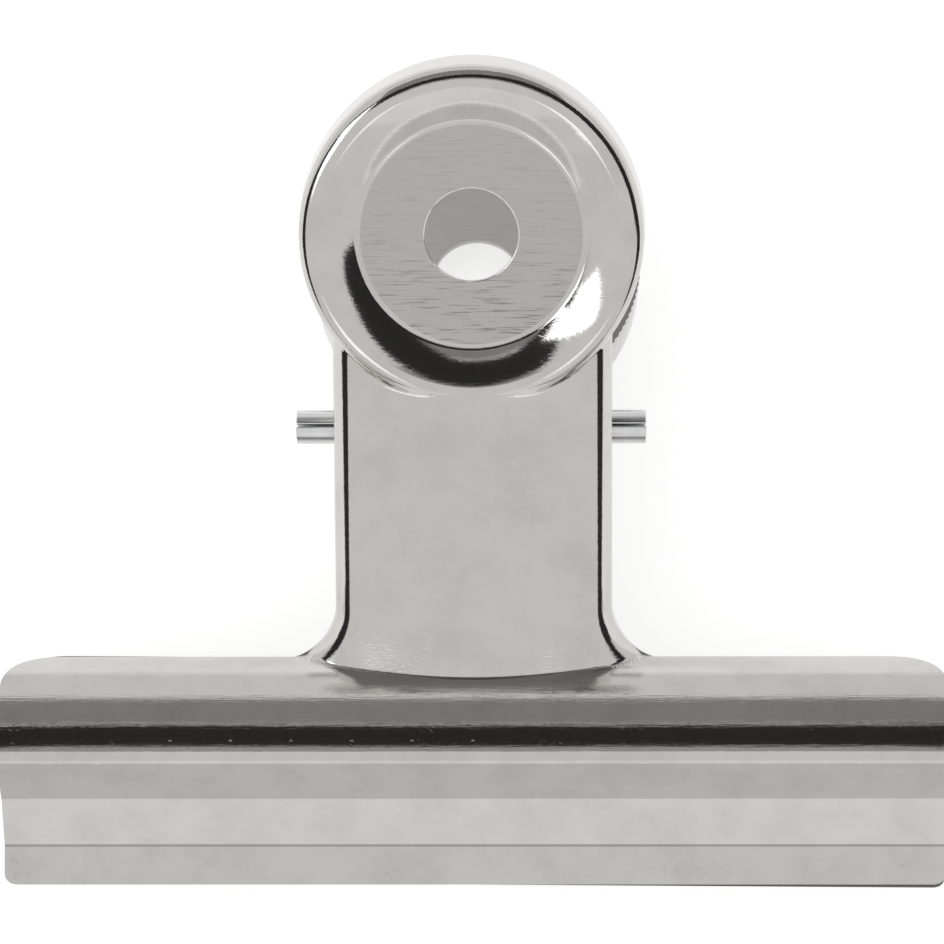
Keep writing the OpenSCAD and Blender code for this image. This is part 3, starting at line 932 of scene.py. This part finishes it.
def makeFloor():
    bm = bmesh.new()
    bmesh.ops.create_grid(bm, x_segments=1, y_segments=1, size=studio["floorSize"])
    bmesh.ops.translate(bm, verts=bm.verts, vec=(0, 0, -studio["floorDrop"]))
    floor = linkMesh("floor", bm)
    shade = Shading("white_floor")
    tone = studio["floorColour"]
    paper = shade.put("ShaderNodeBsdfDiffuse", None, {"Color": (tone, tone, tone, 1)})
    camera = shade.put("ShaderNodeLightPath", out="Is Camera Ray")
    glossy = shade.put("ShaderNodeLightPath", out="Is Glossy Ray")
    through = shade.put("ShaderNodeLightPath", out="Is Transmission Ray")
    seen = camera.math("MAXIMUM", glossy * studio["glossShare"]).math("MAXIMUM", through)
    glow = shade.glow(seen * studio["floorGlow"])
    both = shade.put("ShaderNodeAddShader", None, {0: paper, 1: glow})
    floor.data.materials.append(shade.finish(both))


def finishBoard(name, bm, tone):
    board = linkMesh(name, bm)
    board.visible_camera = False
    board.visible_diffuse = False
    board.visible_shadow = False
    shade = Shading(name)
    board.data.materials.append(shade.finish(shade.glow(tone)))


def towards(fromTop, sideways):
    # direction from the clip: angle from straight up towards the discs, then to the right
    a = deg(fromTop)
    b = deg(sideways)
    return Vector((math.sin(b), math.cos(b) * math.sin(a), math.cos(b) * math.cos(a)))


def makeBoard(name, fromTop, sideways, across, along, tone):
    bm = bmesh.new()
    bmesh.ops.create_grid(bm, x_segments=1, y_segments=1, size=0.5)
    distance = studio["boardDistance"]
    wide = 2 * distance * math.tan(deg(across / 2))
    long = 2 * distance * math.tan(deg(along / 2))
    bmesh.ops.scale(bm, verts=bm.verts, vec=(long, wide, 1))
    # local x follows the angle from the top, local y goes across
    way = towards(fromTop, sideways)
    x = (towards(fromTop + 1, sideways) - towards(fromTop - 1, sideways)).normalized()
    y = way.cross(x)
    turned = Matrix((x, y, way)).transposed().to_4x4()
    bm.transform(Matrix.Translation(Vector(studio["middle"]) + way * distance) @ turned)
    finishBoard(name, bm, tone)


def mirrored(place, slope):
    # where the camera's ray goes from a surface that leans from the handle's face by slope
    toRow = (clipToRow(-1) @ handleToClip()).to_3x3().normalized()
    face = toRow @ Vector((0, 0, 1))
    uphill = toRow @ Vector((0, 1, 0))
    lean = deg(handle["angle"] + shot["elevation"])
    eye = math.cos(lean) * face + math.sin(lean) * uphill
    side = math.cos(deg(place)) * Vector((1, 0, 0)) + math.sin(deg(place)) * uphill
    normal = math.cos(deg(slope)) * face + math.sin(deg(slope)) * side
    return 2 * normal.dot(eye) * normal - eye


def makeArch():
    rows = arch["rows"]
    bm = bmesh.new()
    bmesh.ops.create_grid(bm, x_segments=arch["columns"], y_segments=len(rows) - 1, size=1)
    for v in bm.verts:
        place, low, high, distance = rows[round((v.co.y + 1) / 2 * (len(rows) - 1))]
        slope = low + (high - low) * (v.co.x + 1) / 2
        v.co = Vector(studio["middle"]) + mirrored(place, slope) * distance
    finishBoard("black_arch", bm, arch["tone"])


def makeFrontCard():
    bm = bmesh.new()
    bmesh.ops.create_grid(bm, x_segments=1, y_segments=1, size=0.5)
    bmesh.ops.scale(bm, verts=bm.verts, vec=(*frontCard["size"], 1))
    bmesh.ops.translate(bm, verts=bm.verts, vec=frontCard["place"])
    finishBoard("front_card", bm, frontCard["tone"])


def makeLamp():
    data = bpy.data.lights.new("softbox", "AREA")
    data.shape = "DISK"
    data.size = studio["lampSize"]
    data.energy = studio["lamp"]
    lamp = bpy.data.objects.new("softbox", data)
    bpy.context.scene.collection.objects.link(lamp)
    way = towards(*studio["lampWay"])
    turned = way.to_track_quat("Z", "X").to_matrix().to_4x4()
    spot = Vector(studio["middle"]) + way * studio["lampDistance"]
    lamp.matrix_world = Matrix.Translation(spot) @ turned
    lamp.visible_glossy = False


makeRoom()
makeFloor()
for name, facts in boards.items():
    makeBoard(name, *facts)
makeArch()
makeFrontCard()
makeLamp()
bpy.context.scene.view_settings.view_transform = "Standard"
print("stage: studio")
